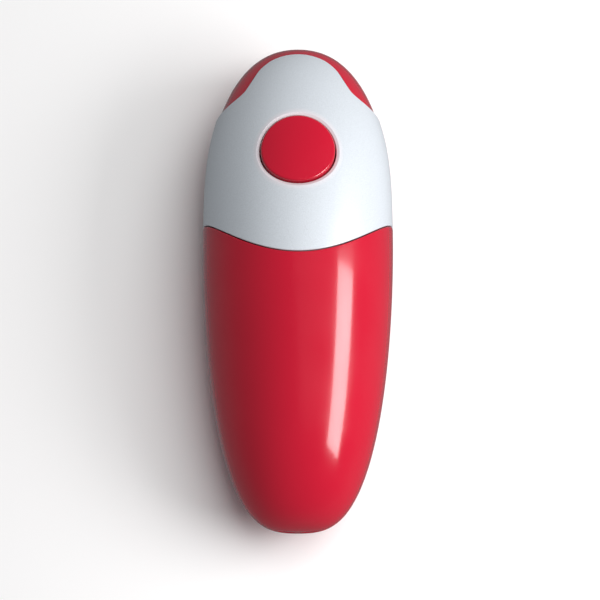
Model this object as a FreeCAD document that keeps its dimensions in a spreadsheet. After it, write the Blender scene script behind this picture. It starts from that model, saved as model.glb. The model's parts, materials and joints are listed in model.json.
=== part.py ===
"""Battery can opener: a hand-free kitchen opener, built as separate pieces on moving bodies.

+Y points to the nose that sits on the can's rim, +X is to the right seen from above, +Z is up.
The origin is on the surface that the opener stands on, below the middle of its length.
"""
import FreeCAD, Part
import math
import os
import re
from types import SimpleNamespace

import Sketcher
from FreeCAD import Placement, Rotation, Vector

# Driving dimensions in millimetres, kept in the spreadsheet under these names.
SIZES = {
    # outer form
    "body_length": 170, "body_width": 65, "body_height": 52, "part_line": 20, "belly_depth": 24,
    "widest_at": 17.5, "highest_at": 10, "deepest_at": -10, "wall": 2.2, "seam_gap": 0.3,
    "lip_raise": 0.8, "lip_start": 20, "lip_full": 55, "head_floor": 12, "step_at": 18.5,
    "rear_seam_at": 1.7, "rear_seam_spread": 61,
    # start button, its spring and switch
    "button_at": 38, "button_radius": 12.35, "button_gap": 0.35, "button_raise": 0.6,
    "flange_radius": 13.8, "flange_thick": 1, "skirt_depth": 7, "skirt_wall": 1.5,
    "button_roof": 2.5, "rim_recess": 0.5, "rim_width": 1.1,
    "stem_radius": 2, "stem_depth": 5.1, "plunger_radius": 1.75, "plunger_length": 2.8,
    "switch_side": 6, "switch_tall": 3.6, "board_depth": 10.4, "board_width": 36,
    "board_length": 29, "board_thick": 1.6, "board_post": 2.2, "board_post_at": 16,
    "spring_wire": 0.3, "button_coil": 5.4,
    # motor
    "motor_at": 9, "motor_radius": 10, "motor_flat": 15, "motor_base": 21, "can_length": 21.5,
    "cap_length": 3.5, "boss_radius": 3, "boss_height": 1.3, "motor_shaft_radius": 1,
    # gears
    "module_one": 0.5, "module_two": 0.6, "module_three": 0.7, "module_four": 0.9,
    "pin_radius": 1, "running_gap": 0.05, "hub_radius": 2.2, "drive_at": 52,
    # gearbox plates
    "base_level": 14.3, "base_thick": 1.6, "top_level": 32.3, "top_thick": 2, "spacer_radius": 2.2,
    "screw_shank": 1.1, "screw_head": 2, "screw_head_height": 1.2,
    # drive wheel and cutter
    "drive_shaft_radius": 3, "drive_teeth_radius": 6.5, "drive_wheel_base": 4.2,
    "drive_wheel_thick": 6.5, "cutter_radius": 9, "cutter_hub": 4.6, "cutter_base": 4.8,
    "cutter_edge": 1.2, "cutter_back": 2,
    "arm_base": 8.5, "arm_thick": 2, "arm_shaft_radius": 2.5, "axle_radius": 1.5,
    "bush_wall": 1, "magnet_radius": 5.5, "magnet_thick": 3, "guide_radius": 2.2,
    # batteries, tray and door
    "cell_radius": 7.1, "cell_pitch": 14.5, "cell_length": 49.5, "nub_radius": 2.7, "nub_height": 1,
    "cell_low": 11.5, "contact_thick": 0.3, "contact_gap": 5.2, "tray_wall": 1.4,
    "tray_front": -2.6, "tray_half": 18.8, "tray_top": 34.8, "door_half": 17, "door_end": -66,
    "hinge_at": 1, "hinge_height": 3, "barrel_radius": 3, "trunnion_radius": 1.4, "swing_room": 2.5,
    # fasteners and leads
    "case_screw_level": 12.4, "case_screw_length": 12.5, "case_shank": 1.4, "case_head": 2.4,
    "case_head_height": 1.6, "boss_low": 3.6, "boss_high": 2.8, "lead_radius": 0.6,
}

doc = FreeCAD.newDocument("can_opener")
sheet = doc.addObject("Spreadsheet::Sheet", "sizes")
for row, (alias, number) in enumerate(SIZES.items(), start=1):
    sheet.set(f"A{row}", alias)
    sheet.set(f"B{row}", str(number))
    sheet.setAlias(f"B{row}", alias)
doc.recompute()
v = SimpleNamespace(**{alias: float(getattr(sheet, alias)) for alias in SIZES})

X_AXIS, Y_AXIS, Z_AXIS = Vector(1, 0, 0), Vector(0, 1, 0), Vector(0, 0, 1)
HALF_LENGTH = v.body_length / 2
HALF_WIDTH = v.body_width / 2
FAR = 200.0
pieces = []


# ---------------------------------------------------------------- document helpers

def linked(text):
    """Turn the names in a formula into spreadsheet references."""
    return re.sub(r"[A-Za-z_]\w*", lambda word: "sizes." + word.group(), str(text))


def bind(item, **formulas):
    for name, text in formulas.items():
        item.setExpression(name, linked(text))
    return item


def piece(label, item):
    """Register an object as a finished sub-part under its own label."""
    item.Label = label
    pieces.append(item)
    return item


def cylinder(name, radius, height, at, axis=Z_AXIS):
    item = doc.addObject("Part::Cylinder", name)
    bind(item, Radius=radius, Height=height)
    item.Placement = Placement(at, Rotation(Z_AXIS, axis))
    return item


def cone(name, radius_low, radius_high, height, at):
    item = doc.addObject("Part::Cone", name)
    bind(item, Radius1=radius_low, Radius2=radius_high, Height=height)
    item.Placement = Placement(at, Rotation())
    return item


def box(name, size, at):
    """A box centred on at in X and Y and standing on it in Z."""
    item = doc.addObject("Part::Box", name)
    bind(item, Length=size[0], Width=size[1], Height=size[2])
    item.setExpression("Placement.Base.x", f"{at[0]} - ({linked(size[0])}) / 2")
    item.setExpression("Placement.Base.y", f"{at[1]} - ({linked(size[1])}) / 2")
    item.setExpression("Placement.Base.z", f"{at[2]}")
    return item


def fuse(name, *parts):
    item = doc.addObject("Part::MultiFuse", name)
    item.Shapes = list(parts)
    return item


def common(name, first, second):
    item = doc.addObject("Part::Common", name)
    item.Base, item.Tool = first, second
    return item


def cut(name, base, *tools):
    item = doc.addObject("Part::Cut", name)
    item.Base = base
    item.Tool = tools[0] if len(tools) == 1 else fuse(name + "_tools", *tools)
    return item


def group(name, *parts):
    """Equal pieces that share one node but stay separate solids."""
    item = doc.addObject("Part::Compound", name)
    item.Links = list(parts)
    return item


def shaped(name, shape, place=None):
    item = doc.addObject("Part::Feature", name)
    item.Shape = shape
    if place:
        item.Placement = place
    return item


def body(name, place=None):
    item = doc.addObject("PartDesign::Body", name)
    if place:
        item.Placement = place
    return item


def sketch(owner, name, geometry, level=0.0):
    """A sketch on the body's own XY plane, raised to a level."""
    item = owner.newObject("Sketcher::SketchObject", name)
    plane = next(p for p in owner.Origin.OriginFeatures if p.Role == "XY_Plane")
    item.AttachmentSupport = (plane, [""])
    item.MapMode = "FlatFace"
    item.AttachmentOffset = Placement(Vector(0, 0, level), Rotation())
    item.addGeometry(geometry, False)
    return item


def pad(owner, name, geometry, thickness, level=0.0):
    item = owner.newObject("PartDesign::Pad", name)
    item.Profile = sketch(owner, name + "_sketch", geometry, level)
    bind(item, Length=thickness)
    return item


def drill(owner, name, holes, level, depth):
    """Round pockets straight up from a level; holes are (x, y, radius formula, radius)."""
    circles = [Part.Circle(Vector(x, y, 0), Z_AXIS, radius) for x, y, _, radius in holes]
    outline = sketch(owner, name + "_sketch", circles, level)
    for index, (_, _, formula, radius) in enumerate(holes):
        at = outline.addConstraint(Sketcher.Constraint("Radius", index, radius))
        outline.setExpression(f"Constraints[{at}]", linked(formula))
    item = owner.newObject("PartDesign::Pocket", name)
    item.Profile = outline
    item.Reversed = True
    bind(item, Length=depth)
    return item


def outline(points):
    """Straight sides through points, closed."""
    corners = [Vector(x, y, 0) for x, y in points]
    return [Part.LineSegment(a, b) for a, b in zip(corners, corners[1:] + corners[:1])]


def mirrored(points):
    """The points on +X followed by their mirror images on -X, in one turn."""
    return points + [(-x, y) for x, y in reversed(points)]


# ---------------------------------------------------------------- outer form

def swell(y, peak, front_curve, rear_curve, front_less, rear_less):
    """Share of the full size at y: 1 at the peak, 0 at the shortened nose and tail."""
    reach, (e, q) = ((HALF_LENGTH - front_less - peak, front_curve) if y > peak
                     else (HALF_LENGTH - rear_less + peak, rear_curve))
    return max(1 - min(abs(y - peak) / reach, 1) ** e, 0) ** (1 / q)


WIDTH_CURVES = ((2.3, 2.3), (1.95, 3.0))
TOP_CURVES = ((2.0, 2.0), (2.2, 2.2))
BELLY_CURVES = ((2.0, 2.0), (2.2, 2.4))


def lip(y):
    """How far the head cover stands proud of the housing beside it."""
    t = min(max((y - v.lip_start) / (v.lip_full - v.lip_start), 0), 1)
    return v.lip_raise * t * t * (3 - 2 * t)


def stations(front_less, rear_less, front_count=10, rear_count=13):
    """Section places along Y, close together at the round ends."""
    found = []
    for count, curves, reach, sign in (
            (rear_count, WIDTH_CURVES[1], HALF_LENGTH - rear_less + v.widest_at, -1),
            (front_count, WIDTH_CURVES[0], HALF_LENGTH - front_less - v.widest_at, 1)):
        e, q = curves
        shares = [math.sin(math.pi / 2 * (i + 0.4) / count) for i in range(count)]
        row = [v.widest_at + sign * reach * (1 - s ** q) ** (1 / e) for s in shares]
        found += row if sign < 0 else row[::-1]
    return sorted(found)


def half_oval(y, width, rise):
    """Half an ellipse across the body, standing on the part line or hanging from it."""
    curve = Part.Arc(Vector(1, 0, 0), Vector(0, 0, 1), Vector(-1, 0, 0)).toBSpline()
    for index, pole in enumerate(curve.getPoles(), start=1):
        curve.setPole(index, Vector(pole.x * width, y, v.part_line + pole.z * rise))
    return curve.toShape()


def form(inset=0.0, raised=0.0):
    """The smooth outer body, shrunk by inset; raised=1 adds the head cover's lip."""
    rings = []
    ends = (inset - raised * v.lip_raise, inset)
    for y in stations(*ends):
        less = inset - raised * lip(y)
        width = (HALF_WIDTH - less) * swell(y, v.widest_at, *WIDTH_CURVES, *ends)
        top = (v.body_height - v.part_line - less) * swell(y, v.highest_at, *TOP_CURVES, *ends)
        belly = (v.belly_depth - less) * swell(y, v.deepest_at, *BELLY_CURVES, *ends)
        lower = half_oval(y, width, -belly)
        lower.reverse()
        rings.append(Part.Wire([half_oval(y, width, top), lower]))
    return Part.makeLoft(rings, True)


def slab(name, low, high):
    """Everything between two levels."""
    return box(name, (FAR, FAR, high - low), (0, 0, low))


def prism(name, edges, low, high):
    face = Part.Face(Part.Wire(edges))
    face.translate(Vector(0, 0, low))
    return shaped(name, face.extrude(Vector(0, 0, high - low)))


def spline(points):
    curve = Part.BSplineCurve()
    curve.interpolate([Vector(x, y, 0) for x, y in points])
    return curve.toShape()


def closed(curve_points, end_y):
    """A plan outline made of a curve and a straight-sided return at end_y."""
    (x0, y0), (x1, y1) = curve_points[0], curve_points[-1]
    corners = [Vector(x1, y1, 0), Vector(x1, end_y, 0), Vector(x0, end_y, 0), Vector(x0, y0, 0)]
    return [spline(curve_points)] + [Part.LineSegment(a, b).toShape()
                                     for a, b in zip(corners, corners[1:])]


def rear_seam(shift=0.0):
    """Plan curve between the head cover and the rear cover."""
    xs = [10.0 * i for i in range(-4, 5)]
    return [(x, v.rear_seam_at + x * x / v.rear_seam_spread + shift) for x in xs]


# Right half of the plan curve round the front of the head cover.
NOSE_SEAM = ((8, 76.7), (13.2, 72.2), (16.2, 66.8), (18.6, 63), (23, 60.2), (30, 57.4), (40, 54))


def nose_seam(shift=0.0):
    right = [(x, y + shift) for x, y in NOSE_SEAM]
    return [(-x, y) for x, y in reversed(right)] + [(0, 78.6 + shift)] + right


def step_edge(shift=0.0):
    """Plan curve where the deep belly steps up to the shallow head."""
    xs = [10.0 * i for i in range(-4, 5)]
    return [(x, v.step_at - x * x / 120 + shift) for x in xs]


def housing_shapes():
    """The housing's outer and inner solids, with the flat belly and the step under the head."""
    outer = common("belly_flat", shaped("outer_form", form()), slab("above_floor", 0, 90))
    outer = cut("housing_outer", outer, prism("head_step", closed(step_edge(), FAR), -20, v.head_floor))
    inner = common("inner_flat", shaped("inner_form", form(v.wall)), slab("above_inside", v.wall, 90))
    step = prism("inner_step", closed(step_edge(-v.wall), FAR), -20, v.head_floor + v.wall)
    return outer, cut("housing_inner", inner, step)


def upright(name, places, radius, low, high):
    """Equal cylinders between two levels at the given plan places."""
    return [cylinder(f"{name}_{i}", radius, high - low, Vector(x, y, low))
            for i, (x, y) in enumerate(places)]


HEAD_SCREWS = [(27.4, 26), (-27.4, 26), (22.5, 57), (-22.5, 57)]
REAR_SCREWS = [(25, -8), (-25, -8), (0, -73)]
CASE_SCREWS = HEAD_SCREWS + REAR_SCREWS


# ---------------------------------------------------------------- button frame

dome = v.body_height - v.part_line
dome_share = swell(v.button_at, v.highest_at, *TOP_CURVES, 0, 0)
slope = -dome * (v.button_at - v.highest_at) / ((HALF_LENGTH - v.highest_at) ** 2 * dome_share)
button_top = v.part_line + dome * dome_share
BUTTON_TILT = Rotation(X_AXIS, math.degrees(math.atan(slope)))
BUTTON_PLACE = Placement(Vector(0, v.button_at, button_top), BUTTON_TILT)
BUTTON_AXIS = BUTTON_TILT.multVec(Z_AXIS)


def on_button(x, y, depth):
    """A point given in the button's own frame, with depth below the cover's crown."""
    return BUTTON_PLACE.multVec(Vector(x, y, -depth))


def button_cylinder(name, radius, height, depth, x=0, y=0):
    """A cylinder square to the button; depth is where its lower end lies."""
    return cylinder(name, radius, height, on_button(x, y, depth), BUTTON_AXIS)


def button_block(name, size, depth, x=0, y=0):
    """A block square to the button, centred on x and y, standing on depth."""
    item = doc.addObject("Part::Box", name)
    bind(item, Length=size[0], Width=size[1], Height=size[2])
    corner = on_button(x - size[0] / 2, y - size[1] / 2, depth)
    item.Placement = Placement(corner, BUTTON_TILT)
    return item


# ---------------------------------------------------------------- case

def make_case():
    outer, inner = housing_shapes()
    bosses = upright("low_boss", CASE_SCREWS, "boss_low", -1, v.part_line)
    hollow = cut("housing_hollow", inner, *bosses, *hinge_ears())
    shell = cut("housing_shell", outer, hollow)
    below = slab("below_part_line", -20, v.part_line - v.seam_gap / 2)
    nose = prism("nose_region", closed(nose_seam(v.seam_gap / 2), FAR), v.part_line - 1, 80)
    shell = common("housing_body", shell, fuse("housing_region", below, nose))
    recess_top = v.case_screw_level + v.case_head_height
    recesses = upright("head_recess", CASE_SCREWS, "case_head + 0.3", -5, recess_top)
    passages = upright("shank_hole", CASE_SCREWS, "case_shank + 0.1", -5, 40)
    door_room = 2 * (v.door_half + v.seam_gap)
    openings = [door_opening("door_hole", v.seam_gap),
                barrel("barrel_room", "barrel_radius + seam_gap", door_room),
                box("swing_room", (door_room, v.swing_room, 2.2), (0, v.hinge_at + v.swing_room / 2, -1)),
                barrel("trunnion_room", "trunnion_radius + 0.1", 38.4),
                cylinder("drive_passage", "drive_shaft_radius + 0.6", 30, Vector(0, v.drive_at, 0)),
                cylinder("arm_passage", "arm_shaft_radius + 0.6", 30, Vector(*ARM_PIVOT, 0))]
    piece("lower_housing", cut("lower_housing", shell, *recesses, *passages, *openings))

    cover_outer = shaped("cover_form", form(0, 1))
    cover_inner = shaped("cover_inner", form(v.wall, 1))
    high = upright("high_boss", CASE_SCREWS, "boss_high", v.part_line - 1, 60)
    posts = [button_cylinder(f"board_post_{i}", "board_post", 16, v.board_depth, x=side * v.board_post_at)
             for i, side in enumerate((1, -1))]
    cover_solid = cut("cover_shell", cover_outer, cut("cover_hollow", cover_inner, *high, *posts))
    pilots = upright("pilot_hole", CASE_SCREWS, "case_shank + 0.02", 10, v.part_line + 8)

    head_plan = closed(rear_seam(v.seam_gap / 2), FAR)
    head_region = cut("head_region", prism("head_plan", head_plan, v.part_line, 80),
                      prism("nose_plan", closed(nose_seam(-v.seam_gap / 2), FAR), 0, 90))
    hole = button_cylinder("button_hole", "button_radius + button_gap", 20, 12)
    head = common("head_body", cover_solid, head_region)
    board_pilots = [button_cylinder(f"board_pilot_{i}", "screw_shank + 0.02", 5, v.board_depth,
                                    x=side * v.board_post_at) for i, side in enumerate((1, -1))]
    piece("head_cover", cut("head_cover", head, hole, rim_recess(cover_outer), *pilots, *board_pilots))

    rear_region = prism("rear_plan", closed(rear_seam(-v.seam_gap / 2), -FAR), v.part_line, 80)
    rear = common("rear_body", cover_solid, rear_region)
    piece("rear_cover", cut("rear_cover", rear, *upright("rear_pilot", REAR_SCREWS, "case_shank + 0.02",
                                                        10, v.part_line + 8)))


def rim_recess(cover_outer):
    """A shallow step round the button hole that follows the curved cover."""
    skin = cut("recess_skin", cover_outer, shaped("recess_form", form(v.rim_recess, 1)))
    reach = button_cylinder("recess_reach", "button_radius + button_gap + rim_width", 20, 12)
    return common("rim_recess", skin, reach)


def hinge_ears():
    """Blocks inside the housing that carry the battery door's trunnions."""
    return [box(f"hinge_ear_{i}", (3, 7, 8), (side * (v.door_half + 1.8), v.hinge_at, -1))
            for i, side in enumerate((1, -1))]


def barrel(name, radius, width):
    """A cylinder along the battery door's hinge line, centred on X."""
    start = Vector(-width / 2, v.hinge_at, v.hinge_height)
    return cylinder(name, radius, width, start, X_AXIS)


def door_opening(name, margin):
    length = v.hinge_at - v.door_end + margin
    middle = (v.hinge_at + v.door_end - margin) / 2
    return box(name, (2 * (v.door_half + margin), length, 10), (0, middle, -3))


def make_door():
    """Battery door: a curved panel with a round front edge, two trunnions and a latch tab."""
    panel = common("door_panel", doc.getObject("housing_shell"), door_opening("door_stock", 0))
    edge = barrel("door_barrel", "barrel_radius", 2 * v.door_half)
    pins = barrel("door_trunnions", "trunnion_radius", 38)
    tab = box("latch_tab", (10, 1.6, 5), (0, v.door_end + 0.8, 3))
    grip = [box(f"grip_{i}", (16, 0.8, 2), (0, v.door_end + 7 + 2 * i, -1.5)) for i in range(4)]
    stock = fuse("door_stock_all", panel, edge, pins, tab)
    piece("battery_door", cut("battery_door", stock, *grip))


# ---------------------------------------------------------------- gears

def polar(radius, degrees):
    angle = math.radians(degrees)
    return Vector(radius * math.cos(angle), radius * math.sin(angle), 0)


def from_point(start, distance, degrees):
    reach = polar(distance, degrees)
    return start[0] + reach.x, start[1] + reach.y


def between(first, first_gap, second, second_gap):
    """The left-hand point at the given distances from two others."""
    dx, dy = second[0] - first[0], second[1] - first[1]
    apart = math.hypot(dx, dy)
    along = (first_gap ** 2 - second_gap ** 2 + apart ** 2) / (2 * apart)
    side = math.sqrt(first_gap ** 2 - along ** 2)
    return (first[0] + (along * dx - side * dy) / apart, first[1] + (along * dy + side * dx) / apart)


def spacing(module, first, second):
    return module * (first + second) / 2


MOTOR = (0.0, v.motor_at)
DRIVE = (0.0, v.drive_at)
GEAR_1 = from_point(MOTOR, spacing(v.module_one, 10, 40), 90)
GEAR_2 = from_point(GEAR_1, spacing(v.module_two, 10, 36), 72)
GEAR_3 = between(GEAR_2, spacing(v.module_three, 10, 34), DRIVE, spacing(v.module_four, 10, 32))
ARM_PIVOT = from_point(DRIVE, spacing(v.module_four, 32, 12), -28)


def meshed(turn, teeth, place, other_teeth, other_place):
    """The turn, in degrees, that puts another gear's gap against this gear's tooth."""
    line = math.degrees(math.atan2(other_place[1] - place[1], other_place[0] - place[0]))
    phase = (line - turn) * teeth / 360
    return line + 180 - (0.5 - phase) * 360 / other_teeth


def tooth_outline(teeth, module, turn):
    """Straight-sided approximation of involute teeth, thinned to run freely."""
    pitch = module * teeth / 2
    base = pitch * math.cos(math.radians(20))
    tip, root = pitch + 0.8 * module, pitch - 1.15 * module

    def roll(radius):
        if radius <= base:
            return 0.0
        pressure = math.acos(base / radius)
        return math.degrees(math.tan(pressure) - pressure)

    half = 0.44 * 180 / teeth + roll(pitch)
    flank = [(radius, half - roll(radius)) for radius in (root, max(base, root + 0.01), pitch, tip)]
    points = []
    for tooth in range(teeth):
        middle = turn + tooth * 360 / teeth
        points += [polar(radius, middle - angle) for radius, angle in flank]
        points += [polar(radius, middle + angle) for radius, angle in reversed(flank)]
    return [Part.LineSegment(a, b) for a, b in zip(points, points[1:] + points[:1])]


def gear(label, place, rims, bore, bore_radius, hub=None):
    """A moulded gear; rims are (teeth, module, turn, level, thickness) from the bottom up."""
    item = body(label, Placement(Vector(*place, 0), Rotation()))
    for index, (teeth, module, turn, level, thick) in enumerate(rims):
        pad(item, f"{label}_rim_{index}", tooth_outline(teeth, module, turn), thick, level)
    lowest = min(level for _, _, _, level, _ in rims)
    if hub:
        lowest, height, radius = hub
        pad(item, f"{label}_hub", [Part.Circle(Vector(), Z_AXIS, radius)], height, lowest)
    drill(item, f"{label}_bore", [(0, 0, bore, bore_radius)], lowest - 1, 40)
    return piece(label, item)


def make_gears():
    """Spur train from the motor to the drive wheel, with the arm's gear on the last rim."""
    first = meshed(0, 10, MOTOR, 40, GEAR_1)
    second = meshed(0, 10, GEAR_1, 36, GEAR_2)
    third = meshed(0, 10, GEAR_2, 34, GEAR_3)
    last = meshed(0, 10, GEAR_3, 32, DRIVE)
    clutch = meshed(last, 32, DRIVE, 12, ARM_PIVOT)
    loose, loose_radius = "pin_radius + running_gap", v.pin_radius + v.running_gap
    gear("motor_pinion", MOTOR, [(10, v.module_one, 0, 16.1, 3)], "motor_shaft_radius", v.motor_shaft_radius)
    gear("gear_1", GEAR_1, [(40, v.module_one, first, 16.1, 2.9), (10, v.module_two, 0, 19, 3.5)],
         loose, loose_radius)
    gear("gear_2", GEAR_2, [(36, v.module_two, second, 19.6, 2.8), (10, v.module_three, 0, 22.4, 4.2)],
         loose, loose_radius)
    gear("gear_3", GEAR_3, [(34, v.module_three, third, 23, 3.4), (10, v.module_four, 0, 26.4, 5.3)],
         loose, loose_radius)
    gear("output_gear", DRIVE, [(32, v.module_four, last, 27, 4.6)],
         "drive_shaft_radius", v.drive_shaft_radius, hub=(24, 8, 5))
    gear("clutch_gear", ARM_PIVOT, [(12, v.module_four, clutch, 27, 4.6)],
         "arm_shaft_radius + running_gap", v.arm_shaft_radius + v.running_gap)


def make_pins():
    low, high = v.base_level, v.top_level + v.top_thick
    pins = upright("gear_pin", (GEAR_1, GEAR_2, GEAR_3), "pin_radius", low, high)
    piece("gear_pins", group("gear_pins", *pins))
    washers = []
    for index, ((x, y), low, high) in enumerate((
            (GEAR_2, v.base_level + v.base_thick, 19.5), (GEAR_3, v.base_level + v.base_thick, 22.9),
            (GEAR_1, 22.6, v.top_level), (GEAR_2, 26.7, v.top_level))):
        tube = cylinder(f"gear_sleeve_{index}", "hub_radius", high - low, Vector(x, y, low))
        bore = cylinder(f"sleeve_bore_{index}", "pin_radius + 0.02", high - low + 2, Vector(x, y, low - 1))
        washers.append(cut(f"gear_sleeve_cut_{index}", tube, bore))
    piece("gear_sleeves", group("gear_sleeves", *washers))


# ---------------------------------------------------------------- gearbox frame

SPACERS = [(-18.1, 50.5), (0, 69.55), (20, 27), (-20, 20.5)]
PLATE_FRONT = [(23.5, 45), (9, 71.8)]


def plate_holes():
    loose = "pin_radius + 0.02"
    holes = [(x, y, loose, v.pin_radius + 0.02) for x, y in (GEAR_1, GEAR_2, GEAR_3)]
    holes += [(x, y, "screw_shank + 0.1", v.screw_shank + 0.1) for x, y in SPACERS]
    bush = v.drive_shaft_radius + v.bush_wall
    holes.append((*DRIVE, "drive_shaft_radius + bush_wall", bush))
    holes.append((*ARM_PIVOT, "arm_shaft_radius + bush_wall", v.arm_shaft_radius + v.bush_wall))
    return holes


def make_gearbox():
    base_plan = outline(mirrored([(13, -0.5), (13, 14), (23.5, 14)] + PLATE_FRONT))
    top_plan = outline(mirrored([(23.5, 18)] + PLATE_FRONT))
    for label, plan, level, thick in (("gearbox_base", base_plan, v.base_level, "base_thick"),
                                      ("gearbox_top", top_plan, v.top_level, "top_thick")):
        plate = body(label)
        pad(plate, label + "_pad", plan, thick, level)
        drill(plate, label + "_holes", plate_holes(), level - 1, 6)
        piece(label, plate)
    low, high = v.base_level + v.base_thick, v.top_level
    tubes = [cut(f"spacer_{i}",
                 cylinder(f"spacer_stock_{i}", "spacer_radius", high - low, Vector(x, y, low)),
                 cylinder(f"spacer_bore_{i}", "screw_shank + 0.1", high - low + 2, Vector(x, y, low - 1)))
             for i, (x, y) in enumerate(SPACERS)]
    piece("gearbox_spacers", group("gearbox_spacers", *tubes))
    screws = [screw(f"gearbox_screw_{i}", "screw_shank", 19.9, "screw_head", "screw_head_height",
                    Vector(x, y, high + v.top_thick), True) for i, (x, y) in enumerate(SPACERS)]
    piece("gearbox_screws", group("gearbox_screws", *screws))
    make_bracket()
    make_bushes()


def screw(name, shank, length, head, head_height, seat, head_up):
    """A pan-head screw: seat is where the head bears, the shank points away from the head."""
    way = -Z_AXIS if head_up else Z_AXIS
    stem = cylinder(name + "_shank", shank, length, seat, way)
    cap = cylinder(name + "_head", head, head_height, seat, -way)
    slot_at = seat - way * SIZES.get(head_height, head_height)
    slots = [box(f"{name}_slot_{i}", size, (slot_at.x, slot_at.y, slot_at.z - 0.35))
             for i, size in enumerate(((2.4, 0.5, 0.7), (0.5, 2.4, 0.7)))]
    return cut(name, fuse(name + "_body", stem, cap), *slots)


def make_bracket():
    """Platform that holds the motor above the first gear."""
    legs_low = v.base_level + v.base_thick
    floor = v.motor_base - 1.4
    deck = box("bracket_deck", (26, 17.3, 1.4), (0, 8.15, floor))
    legs = [box(f"bracket_leg_{i}", (1.5, 17.3, floor - legs_low), (side * 12.25, 8.15, legs_low))
            for i, side in enumerate((1, -1))]
    hole = cylinder("bracket_hole", "boss_radius + 0.1", 6, Vector(*MOTOR, floor - 2))
    fixings = upright("bracket_fixing", [(8, v.motor_at), (-8, v.motor_at)], "screw_shank + 0.05", 17, 23)
    piece("motor_bracket", cut("motor_bracket", fuse("bracket_body", deck, *legs), hole, *fixings))
    screws = [screw(f"motor_screw_{i}", "screw_shank", 3.4, "screw_head", 0.9,
                    Vector(side * 8, v.motor_at, floor), False) for i, side in enumerate((1, -1))]
    piece("motor_screws", group("motor_screws", *screws))


def make_bushes():
    """Flanged bushes for the two shafts in both gearbox plates."""
    bushes = []
    for index, (place, shaft, bore) in enumerate(((DRIVE, "drive_shaft_radius", 0),
                                                  (ARM_PIVOT, "arm_shaft_radius", 1))):
        for level, thick, flange in ((v.base_level, v.base_thick, v.base_level + v.base_thick),
                                     (v.top_level, v.top_thick, v.top_level + v.top_thick)):
            name = f"bush_{index}_{int(level)}"
            tube = cylinder(name + "_tube", shaft + " + bush_wall - 0.02", thick, Vector(*place, level))
            collar = cylinder(name + "_collar", shaft + " + bush_wall + 0.8", 0.6, Vector(*place, flange))
            room = cylinder(name + "_bore", shaft + " + running_gap", 8, Vector(*place, level - 2))
            bushes.append(cut(name, fuse(name + "_body", tube, collar), room))
    piece("shaft_bushes", group("shaft_bushes", *bushes))


# ---------------------------------------------------------------- motor

def make_motor():
    width = "2 * motor_radius"
    base = Vector(*MOTOR, v.motor_base)
    top = v.motor_base + v.can_length
    for label, level, length in (("motor_can", v.motor_base, "can_length"),
                                 ("motor_cap", top, "cap_length")):
        round_part = cylinder(label + "_round", "motor_radius", length, Vector(*MOTOR, level))
        flats = box(label + "_flats", (width, "motor_flat", length), (*MOTOR, level))
        stock = common(label + "_stock", round_part, flats)
        if label == "motor_can":
            boss = cylinder("motor_boss", "boss_radius", "boss_height", base - Z_AXIS * v.boss_height)
            stock = fuse("motor_can_body", stock, boss)
            rooms = [cylinder("motor_bore", "motor_shaft_radius + running_gap", 20, base - Z_AXIS * 5)]
            rooms += upright("motor_thread", [(8, v.motor_at), (-8, v.motor_at)], "screw_shank + 0.02",
                             v.motor_base - 1, v.motor_base + 3)
            piece(label, cut(label, stock, *rooms))
        else:
            vents = [box(f"cap_vent_{i}", (3, 1, 1.2), (side * 5, v.motor_at - 4, top + 2.6))
                     for i, side in enumerate((1, -1))]
            piece(label, cut(label, stock, *vents))
    shaft_low = 15.95
    piece("motor_shaft", cylinder("motor_shaft", "motor_shaft_radius", 18, Vector(*MOTOR, shaft_low)))
    tabs = [box(f"terminal_{i}", (2, 0.5, 2.4), (side * 5, v.motor_at + 4.5, top + v.cap_length))
            for i, side in enumerate((1, -1))]
    piece("motor_terminals", group("motor_terminals", *tabs))


# ---------------------------------------------------------------- drive wheel and cutter

def make_drive():
    shaft_top = v.top_level + v.top_thick + 1.2
    shaft = cylinder("drive_shaft_round", "drive_shaft_radius", shaft_top - v.drive_wheel_base,
                     Vector(*DRIVE, v.drive_wheel_base))
    thread = cylinder("drive_shaft_thread", "screw_shank + 0.02", 8, Vector(*DRIVE, v.drive_wheel_base - 1))
    piece("drive_shaft", cut("drive_shaft", shaft, thread))
    wheel = body("drive_wheel", Placement(Vector(*DRIVE, 0), Rotation()))
    pad(wheel, "wheel_teeth", wheel_outline(24, v.drive_teeth_radius, 0.7), "drive_wheel_thick",
        v.drive_wheel_base)
    drill(wheel, "wheel_bore", [(0, 0, "drive_shaft_radius", v.drive_shaft_radius)], 2, 12)
    piece("drive_wheel", wheel)
    piece("drive_wheel_screw", screw("drive_wheel_screw", "screw_shank", 6, 4.2, 1.1,
                                     Vector(*DRIVE, v.drive_wheel_base), False))


def wheel_outline(teeth, tip, depth):
    """Outline of the toothed wheel that grips under the can's rim."""
    points = []
    for tooth in range(teeth):
        middle = tooth * 360 / teeth
        points += [polar(tip - depth, middle - 5), polar(tip, middle - 1), polar(tip, middle + 1),
                   polar(tip - depth, middle + 5)]
    return [Part.LineSegment(a, b) for a, b in zip(points, points[1:] + points[:1])]


REST_CUTTER = (3.3, 30.6)


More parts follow.
